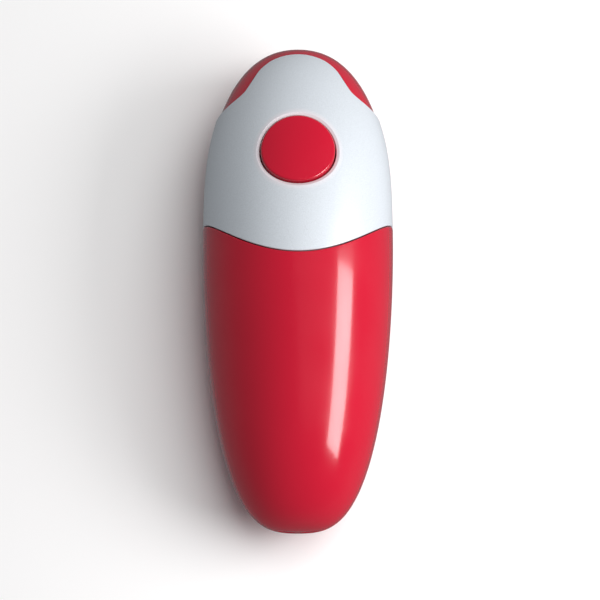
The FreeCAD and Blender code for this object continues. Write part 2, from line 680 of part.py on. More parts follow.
def make_cutter():
    reach = math.hypot(REST_CUTTER[0] - ARM_PIVOT[0], REST_CUTTER[1] - ARM_PIVOT[1])
    heading = math.degrees(math.atan2(REST_CUTTER[1] - ARM_PIVOT[1], REST_CUTTER[0] - ARM_PIVOT[0]))
    place = Placement(Vector(*ARM_PIVOT, v.arm_base), Rotation(Z_AXIS, heading))
    arm = body("cutter_arm", place)
    pad(arm, "arm_plate", slot_outline(reach, 5.2, 4.2), "arm_thick")
    drill(arm, "arm_bores", [(0, 0, "arm_shaft_radius", v.arm_shaft_radius),
                             (reach, 0, "axle_radius", v.axle_radius)], -1, 6)
    piece("cutter_arm", arm)
    shaft = cylinder("arm_shaft_round", "arm_shaft_radius", 25.6, Vector(*ARM_PIVOT, v.arm_base))
    collar = cylinder("arm_shaft_collar", "arm_shaft_radius + 1.3", 1, Vector(*ARM_PIVOT, v.arm_base - 1))
    piece("arm_shaft", fuse("arm_shaft", shaft, collar))
    pivot = Vector(*REST_CUTTER, 0)
    pin = cylinder("axle_pin", "axle_radius", 7, pivot + Z_AXIS * (v.arm_base + v.arm_thick - 7))
    head = cylinder("axle_head", 3, 1, pivot + Z_AXIS * (v.arm_base + v.arm_thick - 7.4))
    piece("cutter_axle", fuse("cutter_axle", pin, head))
    low = cone("cutter_low", "cutter_hub", "cutter_radius", "cutter_edge", pivot + Z_AXIS * v.cutter_base)
    high = cone("cutter_high", "cutter_radius", "cutter_hub", "cutter_back",
                pivot + Z_AXIS * (v.cutter_base + v.cutter_edge))
    bore = cylinder("cutter_bore", "axle_radius + running_gap", 8, pivot + Z_AXIS * (v.cutter_base - 2))
    piece("cutter_wheel", cut("cutter_wheel", fuse("cutter_disc", low, high), bore))
    make_clutch()


def slot_outline(reach, big, small):
    """A rounded link: two arcs joined by their outer tangents, along +X."""
    tilt = math.degrees(math.asin((big - small) / reach))
    first, second = polar(big, 90 - tilt), polar(big, tilt - 90)
    third = polar(small, tilt - 90) + Vector(reach, 0, 0)
    fourth = polar(small, 90 - tilt) + Vector(reach, 0, 0)
    return [Part.Arc(first, Vector(-big, 0, 0), second), Part.LineSegment(second, third),
            Part.Arc(third, Vector(reach + small, 0, 0), fourth), Part.LineSegment(fourth, first)]


def make_clutch():
    """Spring-loaded disc that drags the arm round until the cutter meets the rim."""
    disc = cylinder("disc_round", 5.2, 1.5, Vector(*ARM_PIVOT, 25.4))
    bore = cylinder("disc_bore", "arm_shaft_radius", 4, Vector(*ARM_PIVOT, 24))
    piece("friction_disc", cut("friction_disc", disc, bore))
    seat = cylinder("seat_round", 4, 0.8, Vector(*ARM_PIVOT, 16.7))
    seat_bore = cylinder("seat_bore", "arm_shaft_radius", 4, Vector(*ARM_PIVOT, 15))
    piece("spring_seat", cut("spring_seat", seat, seat_bore))
    coil = coil_spring(3.1, 7.9 - 2 * v.spring_wire, v.spring_wire, 5)
    piece("clutch_spring", shaped("clutch_spring", coil, Placement(
        Vector(*ARM_PIVOT, 17.5 + v.spring_wire), Rotation())))


def coil_spring(radius, height, wire, turns):
    """A round-wire coil standing on its own origin, swept one half turn at a time."""
    half_pitch = height / turns / 2
    path = []
    for step in range(2 * turns):
        half_turn = Part.makeHelix(2 * half_pitch, half_pitch, radius)
        half_turn.Placement = Placement(Z_AXIS * (step * half_pitch), Rotation(Z_AXIS, 180 * step))
        path += half_turn.Edges
    start = Part.Wire(Part.makeCircle(wire, Vector(radius, 0, 0), Y_AXIS))
    return Part.Wire(path).makePipeShell([start], True, True)


def make_underside():
    """Steel plate under the head, the lid magnet in its holder, and the rim guides."""
    plate_form = common("plate_slab", shaped("plate_form", form(4.0)), slab("plate_levels", 11, v.head_floor))
    plate_front = common("plate_front", plate_form, prism("plate_plan", closed(step_edge(4), FAR), 5, 20))
    holes = upright("plate_screw_room", HEAD_SCREWS, "boss_low", 5, 20)
    holes.append(cylinder("plate_drive_hole", "drive_shaft_radius + 0.6", 9, Vector(*DRIVE, 8)))
    holes.append(cylinder("plate_arm_hole", "arm_shaft_radius + 0.6", 9, Vector(*ARM_PIVOT, 8)))
    piece("head_plate", cut("head_plate", plate_front, *holes))
    at = Vector(-14.5, 29, 0)
    cup = cylinder("cup_stock", "magnet_radius + 1.2", "magnet_thick + 1", at + Z_AXIS * 7)
    room = cylinder("cup_room", "magnet_radius", "magnet_thick + 1", at + Z_AXIS * 6)
    piece("magnet_holder", cut("magnet_holder", cup, room))
    piece("lid_magnet", cylinder("lid_magnet", "magnet_radius", "magnet_thick - 0.4", at + Z_AXIS * 7.4))
    guides = upright("rim_guide", [(-17.5, 43.4), (25.2, 37.2)], "guide_radius", 5, 11)
    piece("rim_guides", group("rim_guides", *guides))


# ---------------------------------------------------------------- button and electronics

def make_button():
    top = common("button_top", button_cylinder("button_round", "button_radius", 12, v.skirt_depth),
                 shaped("button_form", form(-v.button_raise, 1)))
    flange = button_cylinder("button_flange", "flange_radius", "flange_thick", v.skirt_depth)
    room = button_cylinder("button_room", "button_radius - skirt_wall", v.skirt_depth - v.button_roof - 3.2,
                           v.skirt_depth)
    hollow = common("button_hollow", button_cylinder("hollow_reach", "button_radius - skirt_wall", 12,
                                                     v.skirt_depth + 1),
                    shaped("hollow_form", form(v.button_roof, 1)))
    shell = cut("button_shell", fuse("button_stock", top, flange), room, hollow)
    stem = button_cylinder("button_stem", "stem_radius", v.stem_depth - 2, v.stem_depth)
    piece("start_button", fuse("start_button", shell, stem))


def make_board():
    board_level = v.board_depth + v.board_thick
    board = button_block("board_blank", (v.board_width, v.board_length, v.board_thick), board_level, y=-3.5)
    holes = [button_cylinder(f"board_hole_{i}", "screw_shank + 0.1", 6, v.board_depth + 4,
                             x=side * v.board_post_at) for i, side in enumerate((1, -1))]
    piece("circuit_board", cut("circuit_board", board, *holes))
    body_block = button_block("switch_block", (v.switch_side, v.switch_side, v.switch_tall), v.board_depth)
    room = button_cylinder("switch_room", "plunger_radius + 0.1", 5, v.board_depth - 0.4)
    piece("switch_body", cut("switch_body", body_block, room))
    piece("switch_plunger", button_cylinder("switch_plunger", "plunger_radius", "plunger_length",
                                            v.stem_depth + 0.1 + v.plunger_length))
    spring = coil_spring(v.button_coil, v.board_depth - v.button_roof - 0.6 - 2 * v.spring_wire,
                         v.spring_wire, 4)
    foot = Placement(on_button(0, 0, v.board_depth - v.spring_wire), BUTTON_TILT)
    piece("button_spring", shaped("button_spring", spring, foot))
    parts = [button_block("control_chip", (5, 6, 1.6), v.board_depth, x=-11, y=-9),
             button_cylinder("capacitor", 2.4, 3.6, v.board_depth, x=9, y=-14.6)]
    piece("board_parts", group("board_parts", *parts))
    heads = []
    for i, side in enumerate((1, -1)):
        x = side * v.board_post_at
        stem = button_cylinder(f"board_screw_stem_{i}", "screw_shank", 5, board_level, x=x)
        head = button_cylinder(f"board_screw_head_{i}", "screw_head", "screw_head_height",
                               board_level + v.screw_head_height, x=x)
        heads.append(fuse(f"board_screw_{i}", stem, head))
    piece("board_screws", group("board_screws", *heads))


# ---------------------------------------------------------------- batteries

CELL_FRONT = v.tray_front - v.tray_wall
CELL_REAR = CELL_FRONT - 2 * v.contact_thick - v.cell_length - v.nub_height - v.contact_gap


def cell_places():
    """Plan X, height and the way that each cell's button end points."""
    columns = (v.cell_pitch / 2, -v.cell_pitch / 2)
    levels = (v.cell_low, v.cell_low + v.cell_pitch)
    return [(x, z, 1 if (i + k) % 2 == 0 else -1)
            for i, x in enumerate(columns) for k, z in enumerate(levels)]


def make_cells():
    cells, springs = [], []
    for index, (x, z, way) in enumerate(cell_places()):
        button_end = (CELL_FRONT if way > 0 else CELL_REAR) - way * v.contact_thick
        axis = Y_AXIS * -way
        nub = cylinder(f"cell_nub_{index}", "nub_radius", "nub_height", Vector(x, button_end, z), axis)
        shoulder = Vector(x, button_end - way * v.nub_height, z)
        can = cylinder(f"cell_can_{index}", "cell_radius", "cell_length", shoulder, axis)
        cells.append(fuse(f"cell_{index}", nub, can))
        front_end = CELL_FRONT - v.contact_thick - v.spring_wire
        if way > 0:
            front_end = CELL_REAR + v.contact_thick + v.contact_gap - v.spring_wire
        coil = coil_spring(3, v.contact_gap - 2 * v.spring_wire - 0.1, v.spring_wire, 3)
        place = Placement(Vector(x, front_end, z), Rotation(Z_AXIS, -Y_AXIS))
        springs.append(shaped(f"cell_spring_{index}", coil, place))
    piece("aa_batteries", group("aa_batteries", *cells))
    piece("battery_springs", group("battery_springs", *springs))
    plates = []
    for index, y in enumerate((CELL_FRONT - v.contact_thick / 2, CELL_REAR + v.contact_thick / 2)):
        for side in (1, -1):
            name = f"contact_{index}_{'right' if side > 0 else 'left'}"
            plates.append(box(name, (10, "contact_thick", 24), (side * v.cell_pitch / 2, y, 6.7)))
    piece("battery_contacts", group("battery_contacts", *plates))


def make_tray():
    """Open-bottomed battery box standing on the housing floor round the door opening."""
    rear = CELL_REAR - v.tray_wall
    middle = (v.tray_front + rear) / 2
    length = v.tray_front - rear
    block = box("tray_block", ("2 * tray_half", length, v.tray_top), (0, middle, 0))
    fitted = common("tray_fitted", block, doc.getObject("housing_inner"))
    room_size = ("2 * (tray_half - tray_wall)", length - 2 * v.tray_wall, v.tray_top - v.tray_wall)
    room = box("tray_room", room_size, (0, middle, 0))
    ribs = [box(f"tray_rib_{i}_{k}", (2.7, 1.5, 24), (side * (v.tray_half - v.tray_wall - 1.3), y, 7))
            for i, side in enumerate((1, -1)) for k, y in enumerate((-18, -32, -46))]
    shell = cut("tray_shell", fitted, room)
    door_room = box("tray_door_room", (2 * v.door_half + 1, 90, 3.2), (0, -20, 0))
    piece("battery_tray", cut("battery_tray", fuse("tray_ribbed", shell, *ribs), door_room))


def tube_run(name, points, bend):
    """Insulated lead: straight runs joined by arcs that touch them."""
    corners = [Vector(*p) for p in points]
    edges = []
    start = corners[0]
    for before, corner, after in zip(corners, corners[1:], corners[2:]):
        incoming = (corner - before).normalize()
        outgoing = (after - corner).normalize()
        enter = corner - incoming * bend
        leave = corner + outgoing * bend
        middle = corner + (outgoing - incoming).normalize() * (bend * (math.sqrt(2) - 1))
        edges.append(Part.LineSegment(start, enter).toShape())
        edges.append(Part.Arc(enter, middle, leave).toShape())
        start = leave
    edges.append(Part.LineSegment(start, corners[-1]).toShape())
    first = (corners[1] - corners[0]).normalize()
    ring = Part.Wire(Part.makeCircle(v.lead_radius, corners[0], first))
    return shaped(name, Part.Wire(edges).makePipeShell([ring], True, True))


def make_leads():
    landing = on_button(0, -15.5, v.board_depth)
    terminal_level = v.motor_base + v.can_length + v.cap_length + 1.2
    for label, side in (("red_leads", 1), ("black_leads", -1)):
        x, inner_x = side * 12.8, side * 5
        supply = tube_run(f"{label}_supply", [(x, v.tray_front, 29), (x, 0.6, 29), (x, 0.6, 44.4),
                                              (x, landing.y, 44.4), (x, landing.y, landing.z + 0.2)], 1.6)
        motor = tube_run(f"{label}_motor", [(inner_x, v.motor_at + 4.75, terminal_level),
                                            (inner_x, landing.y, terminal_level),
                                            (inner_x, landing.y, landing.z + 0.2)], 1.6)
        piece(label, group(label, supply, motor))


def make_case_screws():
    screws = [screw(f"case_screw_{i}", "case_shank", "case_screw_length", "case_head", "case_head_height",
                    Vector(x, y, v.case_screw_level + v.case_head_height), False)
              for i, (x, y) in enumerate(CASE_SCREWS)]
    piece("case_screws", group("case_screws", *screws))


# ---------------------------------------------------------------- assemble, check and write

make_case()
make_door()
make_gears()
make_pins()
make_gearbox()
make_motor()
make_drive()
make_cutter()
make_underside()
make_button()
make_board()
make_cells()
make_tray()
make_leads()
make_case_screws()
doc.recompute()

for item in doc.Objects:
    if {"Invalid", "Error"} & set(item.State):
        raise RuntimeError(f"{item.Name} failed: {item.State}")
for item in pieces:
    if item.Shape.isNull() or not item.Shape.isValid():
        raise RuntimeError(f"{item.Label} has no valid shape")

os.makedirs("parts", exist_ok=True)
for item in pieces:
    item.Shape.exportStep(f"parts/{item.Label}.step")
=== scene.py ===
import json
import math

import bpy
from mathutils import Matrix, Vector


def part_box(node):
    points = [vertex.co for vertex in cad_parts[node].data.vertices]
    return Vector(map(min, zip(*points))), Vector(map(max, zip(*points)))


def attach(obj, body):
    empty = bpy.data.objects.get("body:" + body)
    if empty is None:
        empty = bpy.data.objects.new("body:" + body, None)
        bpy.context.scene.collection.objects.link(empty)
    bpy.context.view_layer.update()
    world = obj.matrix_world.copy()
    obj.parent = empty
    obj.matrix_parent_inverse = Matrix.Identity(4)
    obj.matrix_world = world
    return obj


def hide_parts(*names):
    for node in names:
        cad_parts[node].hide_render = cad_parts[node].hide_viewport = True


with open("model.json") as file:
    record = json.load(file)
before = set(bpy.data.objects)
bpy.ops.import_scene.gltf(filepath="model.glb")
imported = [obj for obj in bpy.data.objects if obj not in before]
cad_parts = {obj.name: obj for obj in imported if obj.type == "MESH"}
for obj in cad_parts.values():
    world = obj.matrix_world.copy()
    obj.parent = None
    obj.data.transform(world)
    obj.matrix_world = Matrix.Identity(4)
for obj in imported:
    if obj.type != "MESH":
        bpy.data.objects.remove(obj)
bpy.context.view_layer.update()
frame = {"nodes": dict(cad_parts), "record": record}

MM = 0.001

# Outer form, in metres, as the CAD has it. Ends and widths come from the frame.
housing_low, housing_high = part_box("lower_housing")
HALF_LENGTH = (housing_high.y - housing_low.y) / 2
HALF_WIDTH = (housing_high.x - housing_low.x) / 2
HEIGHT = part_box("rear_cover")[1].z
PART_LINE = 20 * MM
BELLY = 24 * MM
WIDEST, HIGHEST, DEEPEST = 17.5 * MM, 10 * MM, -10 * MM
WIDTH_CURVES = ((2.3, 2.3), (1.95, 3.0))
TOP_CURVES = ((2.0, 2.0), (2.2, 2.2))
BELLY_CURVES = ((2.0, 2.0), (2.2, 2.4))
LIP, LIP_START, LIP_FULL = 0.8 * MM, 20 * MM, 55 * MM
GAP, EDGE, WALL_DEPTH = 0.3 * MM, 0.38 * MM, 1.7 * MM

# Plan curves of the seams, and the stretch of the length that each one lies in.
NOSE_SEAM = ((0, 78.6), (8, 76.7), (13.2, 72.2), (16.2, 66.8), (18.6, 63), (23, 60.2), (30, 57.4), (40, 54))
REAR_SEAM_AT, REAR_SEAM_SPREAD = 1.7 * MM, 61 * MM
NOSE_REACH = (50 * MM, 82 * MM)
REAR_REACH = (-10 * MM, 30 * MM)

BUTTON_AT = 38 * MM
BUTTON_RADIUS = 12.35 * MM
BUTTON_RAISE = 0.6 * MM
BUTTON_ROUND, BUTTON_SKIRT = 0.7 * MM, 3.4 * MM

# The ring round the button: radius and depth below the cover, in millimetres, from the hole outwards.
RING_PROFILE = ((12.72, 4.0), (12.72, 0.9), (12.80, 0.62), (12.98, 0.44), (13.5, 0.22), (13.72, 0.08),
                (13.95, 0.0))
RING_WALL = 0.5
RING_LEAN = -0.75
# Painted highlight: within these distances of the button's centre the cover's colour turns pale pink,
# standing in for light caught on the countersunk rim.
RING_HIGHLIGHT_TO, RING_HIGHLIGHT_FADED_BY = 13.7 * MM, 14.1 * MM

SMOOTH_NEAR = 0.15 * MM
SMOOTH_TURN = 0.9


# ---------------------------------------------------------------- the smooth form

def swell(y, peak, front_curve, rear_curve, front_more=0.0):
    reach, (e, q) = ((HALF_LENGTH + front_more - peak, front_curve) if y > peak
                     else (HALF_LENGTH + peak, rear_curve))
    return max(1 - min(abs(y - peak) / reach, 1) ** e, 0) ** (1 / q)


def lip(y):
    t = min(max((y - LIP_START) / (LIP_FULL - LIP_START), 0), 1)
    return LIP * t * t * (3 - 2 * t)


def section(y, raised=0.0, lift=0.0):
    """Half width, rise above and drop below the part line at y."""
    more = raised * lip(y) + lift
    ends = raised * LIP
    width = (HALF_WIDTH + more) * swell(y, WIDEST, *WIDTH_CURVES, ends)
    top = (HEIGHT - PART_LINE + more) * swell(y, HIGHEST, *TOP_CURVES, ends)
    belly = (BELLY + more) * swell(y, DEEPEST, *BELLY_CURVES, ends)
    return width, top, belly


def surface(phi, y, raised=0.0):
    """A point on the form; phi is 0 at the right part line and a quarter turn at the crown."""
    width, top, belly = section(y, raised)
    rise = math.sin(phi)
    return Vector((width * math.cos(phi), y, PART_LINE + (top if rise > 0 else belly) * rise))


def facing(phi, y, raised=0.0):
    """Outward unit normal of the form."""
    step = 0.02 * MM
    along = surface(phi, y + step, raised) - surface(phi, y - step, raised)
    across = surface(phi + 0.001, y, raised) - surface(phi - 0.001, y, raised)
    out = along.cross(across)
    return out.normalized() if out.length > 0 else Vector((0, 1 if y > 0 else -1, 0))


def onto(point, raised=0.0):
    """Form coordinates of the nearest place straight across from a point near the surface."""
    width, top, belly = section(point.y, raised)
    rise = point.z - PART_LINE
    return math.atan2(rise / (top if rise > 0 else belly), point.x / width), point.y


def nose_y(x):
    """Plan curve of the head cover's front edge, by smooth interpolation."""
    x = abs(x) / MM
    spots = NOSE_SEAM
    k = max(i for i, (sx, _) in enumerate(spots[:-1]) if sx <= x)
    (x0, y0), (x1, y1) = spots[k], spots[k + 1]
    before = spots[k - 1] if k else (-spots[1][0], spots[1][1])
    after = spots[k + 2] if k + 2 < len(spots) else (2 * x1 - x0, 2 * y1 - y0)
    slope0 = (y1 - before[1]) / (x1 - before[0])
    slope1 = (after[1] - y0) / (after[0] - x0)
    t, span = (x - x0) / (x1 - x0), x1 - x0
    return MM * ((2 * t ** 3 - 3 * t * t + 1) * y0 + (t ** 3 - 2 * t * t + t) * span * slope0
                 + (3 * t * t - 2 * t ** 3) * y1 + (t ** 3 - t * t) * span * slope1)


def rear_y(x):
    """Plan curve of the seam between the two covers."""
    return REAR_SEAM_AT + x * x / REAR_SEAM_SPREAD


def meets(phi, curve, raised, reach):
    """The y within a reach where a line of constant phi crosses a plan curve."""
    low, high = reach
    for _ in range(40):
        middle = (low + high) / 2
        if middle > curve(surface(phi, middle, raised).x):
            high = middle
        else:
            low = middle
    return (low + high) / 2


# ---------------------------------------------------------------- mesh helpers

def new_mesh(name, points, faces, normals=None):
    mesh = bpy.data.meshes.new(name)
    mesh.from_pydata([tuple(p) for p in points], [], faces)
    mesh.update()
    mesh.polygons.foreach_set("use_smooth", [True] * len(mesh.polygons))
    if normals:
        mesh.normals_split_custom_set_from_vertices([tuple(n) for n in normals])
    piece = bpy.data.objects.new(name, mesh)
    bpy.context.scene.collection.objects.link(piece)
    return piece


def strip(faces, first, second, closed=True):
    """Quads between two equal rows of vertex numbers."""
    count = len(first)
    for i in range(count if closed else count - 1):
        j = (i + 1) % count
        faces.append((first[i], first[j], second[j], second[i]))


class Skin:
    """Vertices with known normals and the faces between them."""

    def __init__(self):
        self.points, self.normals, self.faces = [], [], []

    def row(self, places):
        """Adds (point, normal) pairs and returns their numbers."""
        start = len(self.points)
        for point, normal in places:
            self.points.append(point)
            self.normals.append(normal)
        return list(range(start, len(self.points)))

    def build(self, name):
        return new_mesh(name, self.points, self.faces, self.normals)


def outward(points, normals):
    """Unit directions in the surface that point out of a counter-clockwise loop, mitred at corners."""
    count = len(points)
    found = []
    for i in range(count):
        before = (points[i] - points[i - 1]).normalized()
        after = (points[(i + 1) % count] - points[i]).normalized()
        first, second = before.cross(normals[i]), after.cross(normals[i])
        both = (first + second).normalized()
        found.append(both / max(both.dot(first), 0.5))
    return found


def rolled_edge(skin, start, points, normals, radius, depth, steps=5):
    """Rounds a boundary over and runs it down into the gap."""
    out = outward(points, normals)
    last = start
    for k in range(1, steps + 1):
        turn = math.pi / 2 * k / steps
        row = skin.row([(p + o * radius * math.sin(turn) - n * radius * (1 - math.cos(turn)),
                         (n * math.cos(turn) + o * math.sin(turn)).normalized())
                        for p, n, o in zip(points, normals, out)])
        strip(skin.faces, row, last)
        last = row
    row = skin.row([(p + o * radius - n * (radius + depth), o.normalized())
                    for p, n, o in zip(points, normals, out)])
    strip(skin.faces, row, last)


def pulled_in(curve, distance, raised, side):
    """A line of form coordinates moved sideways in the surface; side is 1 to its left."""
    points = [surface(*c, raised) for c in curve]
    normals = [facing(*c, raised) for c in curve]
    moved = []
    for i, (p, n) in enumerate(zip(points, normals)):
        along = points[min(i + 1, len(points) - 1)] - points[max(i - 1, 0)]
        moved.append(onto(p + n.cross(along).normalized() * distance * side, raised))
    return moved


def above_part_line(curve, clearance, raised):
    """The stretch of a right-to-left line that lies higher than a clearance above the part line."""
    level = PART_LINE + clearance
    heights = [surface(*c, raised).z for c in curve]
    kept = [c for c, z in zip(curve, heights) if z > level]
    first = next(i for i, z in enumerate(heights) if z > level)
    last = len(curve) - 1 - next(i for i, z in enumerate(reversed(heights)) if z > level)
    for at, spot, other in ((0, first, first - 1), (len(kept), last, last + 1)):
        other = min(max(other, 0), len(curve) - 1)
        share = (level - heights[other]) / (heights[spot] - heights[other]) if other != spot else 1
        mix = tuple(a + (b - a) * share for a, b in zip(curve[other], curve[spot]))
        kept.insert(at if at == 0 else len(kept), mix)
    return kept


def resampled(curve, count):
    """Equal steps along a line of (phi, y) pairs, measured on the form."""
    scale = (HALF_WIDTH, 1.0)
    lengths = [0.0]
    for a, b in zip(curve, curve[1:]):
        lengths.append(lengths[-1] + math.hypot(*((q - p) * s for p, q, s in zip(a, b, scale))))
    result, k = [], 0
    for i in range(count):
        want = lengths[-1] * i / (count - 1)
        while k < len(curve) - 2 and lengths[k + 1] < want:
            k += 1
        share = (want - lengths[k]) / max(lengths[k + 1] - lengths[k], 1e-12)
        result.append(tuple(p + (q - p) * share for p, q in zip(curve[k], curve[k + 1])))
    return result


def side_line(from_y, to_y, clearance, raised, count, left):
    """The lower edge of a cover, just above the part line, on one side."""
    line = []
    for i in range(count):
        y = from_y + (to_y - from_y) * i / (count - 1)
        phi = math.asin(min(clearance / section(y, raised)[1], 1))
        line.append((math.pi - phi if left else phi, y))
    return line


# ---------------------------------------------------------------- covers

BACK_OFF = GAP / 2 + EDGE


def seam_line(curve, raised, reach, count=240):
    line = []
    for i in range(count + 1):
        phi = math.pi * i / count
        line.append((phi, meets(phi, curve, raised, reach)))
    return line


BUTTON_SHARE = swell(BUTTON_AT, HIGHEST, *TOP_CURVES)
BUTTON_TOP = PART_LINE + (HEIGHT - PART_LINE) * BUTTON_SHARE
BUTTON_SLOPE = -(HEIGHT - PART_LINE) * (BUTTON_AT - HIGHEST) / ((HALF_LENGTH - HIGHEST) ** 2 * BUTTON_SHARE)
BUTTON_TILT = Matrix.Rotation(math.atan(BUTTON_SLOPE), 4, "X")
BUTTON_FRAME = Matrix.Translation((0, BUTTON_AT, BUTTON_TOP)) @ BUTTON_TILT
BUTTON_CENTRE = BUTTON_FRAME.to_translation()
BUTTON_UP = BUTTON_FRAME.to_3x3() @ Vector((0, 0, 1))


def over_button(radius, angle, raised=1.0, lift=0.0, drop=0.0):
    """Point and normal on the form, above a place given in polar terms round the button's axis."""
    start = BUTTON_FRAME @ Vector((radius * math.cos(angle), radius * math.sin(angle), 0))

    def outside(point):
        width, top, _ = section(point.y, raised, lift)
        return (point.x / width) ** 2 + ((point.z - PART_LINE) / top) ** 2 - 1

    low, high = -12 * MM, 6 * MM
    for _ in range(34):
        middle = (low + high) / 2
        if outside(start + BUTTON_UP * middle) > 0:
            high = middle
        else:
            low = middle
    point = start + BUTTON_UP * low
    return point - BUTTON_UP * drop, facing(*onto(point, raised), raised)


def head_skin():
    """Silver head cover: rings from the button's countersink out to its four-sided edge."""
    raised, around, rings = 1.0, 320, 44
    rear = pulled_in(seam_line(rear_y, raised, REAR_REACH), BACK_OFF, raised, -1)
    nose = pulled_in(seam_line(nose_y, raised, NOSE_REACH), BACK_OFF, raised, 1)
    rear = above_part_line(rear, BACK_OFF, raised)
    nose = above_part_line(nose, BACK_OFF, raised)
    right = side_line(rear[0][1], nose[0][1], BACK_OFF, raised, 60, False)
    left = side_line(nose[-1][1], rear[-1][1], BACK_OFF, raised, 60, True)
    edge = right[:-1] + nose[:-1] + left[:-1] + rear[::-1][:-1]
    corners = {0, len(right) - 1, len(right) + len(nose) - 2, len(right) + len(nose) + len(left) - 3}
    middle = (math.pi / 2, BUTTON_AT)
    edge = spread_round(edge, corners, middle, around)

    skin = Skin()
    angles = [bearing(c, middle) for c in edge]
    last = None
    for radius, drop in RING_PROFILE:
        spots = [over_button(radius * MM, a, raised, 0, drop * MM) for a in angles]
        if drop > RING_WALL:
            spots = [(p, -(p - BUTTON_CENTRE).normalized()) for p, _ in spots]
        elif drop > 0:
            spots = [(p, (n + RING_LEAN * (p - BUTTON_CENTRE).normalized()).normalized())
                     for p, n in spots]
        row = skin.row(spots)
        if last:
            strip(skin.faces, row, last)
        last = row
    inner = [onto(skin.points[i], raised) for i in last]
    for k in range(1, rings + 1):
        share = (k / rings) ** 1.15
        row_places = [(a[0] + (b[0] - a[0]) * share, a[1] + (b[1] - a[1]) * share)
                      for a, b in zip(inner, edge)]
        row = skin.row([(surface(*c, raised), facing(*c, raised)) for c in row_places])
        strip(skin.faces, row, last)
        last = row
    rolled_edge(skin, last, [skin.points[i] for i in last], [skin.normals[i] for i in last], EDGE, WALL_DEPTH)
    piece = skin.build("head_cover_skin")
    finish_skin(piece, "case", "silver_cover", "head_cover")


def bearing(place, middle):
    """Angle of a place round the button as seen from above the crown."""
    return math.atan2(place[1] - middle[1], -(place[0] - middle[0]) * HALF_WIDTH)


def spread_round(edge, corners, middle, count):
    """Picks places on an edge at even bearings, keeping its corners."""
    full = 2 * math.pi
    turns = [bearing(c, middle) for c in edge]
    start = turns[0]
    turns = [(t - start) % full for t in turns]
    wanted = [full * i / count for i in range(count)]
    for c in sorted(turns[i] for i in corners):
        nearest = min(range(count), key=lambda i: abs(wanted[i] - c))
        wanted[nearest] = c
    picked, k = [], 0
    turns.append(full)
    loop = edge + edge[:1]
    for want in wanted:
        while k < len(turns) - 2 and turns[k + 1] < want:
            k += 1
        share = (want - turns[k]) / max(turns[k + 1] - turns[k], 1e-9)
        picked.append(tuple(a + (b - a) * share for a, b in zip(loop[k], loop[k + 1])))
    return picked


def rear_skin():
    """Red rear cover: rows across, from the tail's point to the seam."""
    across, rows = 150, 110
    seam = pulled_in(seam_line(rear_y, 0.0, REAR_REACH), BACK_OFF, 0.0, 1)
    seam = resampled(above_part_line(seam, BACK_OFF, 0.0), across + 1)
    skin = Skin()
    grid = []
    steps = (-HALF_LENGTH + i * 0.001 * MM for i in range(4000))
    tail = next(y for y in steps if section(y)[1] > BACK_OFF * 1.02)
    for k in range(rows + 1):
        run = k / rows
        eased = 0.55 * run + 0.45 * (1 - math.cos(math.pi / 2 * run))
        places = []
        for phi_seam, y_seam in seam:
            y = tail + (y_seam - tail) * eased
            low = math.asin(min(BACK_OFF / section(y)[1], 1))
            seam_low = math.asin(BACK_OFF / section(y_seam)[1])
            tau = (phi_seam - seam_low) / (math.pi - 2 * seam_low)
            places.append((low + (math.pi - 2 * low) * min(max(tau, 0), 1), y))
        grid.append(skin.row([(surface(*c), facing(*c)) for c in places]))
    for first, second in zip(grid, grid[1:]):
        strip(skin.faces, second, first, closed=False)
    loop = [row[0] for row in grid[1:]] + grid[-1][1:] + [row[-1] for row in grid[1:-1]][::-1]
    rolled_edge(skin, loop, [skin.points[i] for i in loop], [skin.normals[i] for i in loop], EDGE, WALL_DEPTH)
    piece = skin.build("rear_cover_skin")
    finish_skin(piece, "case", "red_gloss", "rear_cover")


def button_skin():
    """Start button: a shallow crowned disc with a rounded rim and a straight skirt."""
    around, rings = 160, 30
    skin = Skin()
    rim = BUTTON_ROUND
    flat = BUTTON_RADIUS - rim
    middle = skin.row([over_button(0, 0, 1.0, BUTTON_RAISE)])[0]
    last = None
    for k in range(1, rings + 1):
        radius = flat * k / rings
        row = skin.row([over_button(radius, 2 * math.pi * i / around, 1.0, BUTTON_RAISE)
                        for i in range(around)])
        if last is None:
            skin.faces += [(middle, row[i], row[(i + 1) % around]) for i in range(around)]
        else:
            strip(skin.faces, row, last)
        last = row
    tops = [skin.points[i] for i in last]
    normals = [skin.normals[i] for i in last]
    spokes = [(BUTTON_FRAME.to_3x3() @ Vector((math.cos(a), math.sin(a), 0)))
              for a in (2 * math.pi * i / around for i in range(around))]
    steps = 6
    for k in range(1, steps + 1):
        turn = math.pi / 2 * k / steps
        row = skin.row([(p + o * rim * math.sin(turn) - BUTTON_UP * rim * (1 - math.cos(turn)),
                         (n * math.cos(turn) + o * math.sin(turn)).normalized())
                        for p, n, o in zip(tops, normals, spokes)])
        strip(skin.faces, row, last)
        last = row
    row = skin.row([(skin.points[i] - BUTTON_UP * BUTTON_SKIRT, o) for i, o in zip(last, spokes)])
    strip(skin.faces, row, last)
    piece = skin.build("start_button_skin")
    finish_skin(piece, "start_button", "red_gloss", "start_button")


def finish_skin(piece, body, slot, node):
    """Material, body and the CAD node whose place a finished piece takes."""
    piece.data.materials.clear()
    piece.data.materials.append(material(slot))
    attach(piece, body)
    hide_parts(node)


def smooth_copy(node, body, slot):
    """The CAD shape again, with the form's exact normals wherever a face lies on it."""
    source = frame["nodes"][node].data
    mesh = source.copy()
    mesh.name = node + "_skin"
    piece = bpy.data.objects.new(node + "_skin", mesh)
    bpy.context.scene.collection.objects.link(piece)
    normals = [None] * len(mesh.loops)
    for face in mesh.polygons:
        face.use_smooth = True
        for index in face.loop_indices:
            point = mesh.vertices[mesh.loops[index].vertex_index].co
            exact = form_normal(point)
            close = exact is not None and exact.dot(face.normal) > SMOOTH_TURN
            normals[index] = exact if close else face.normal
    mesh.normals_split_custom_set([tuple(n) for n in normals])
    finish_skin(piece, body, slot, node)


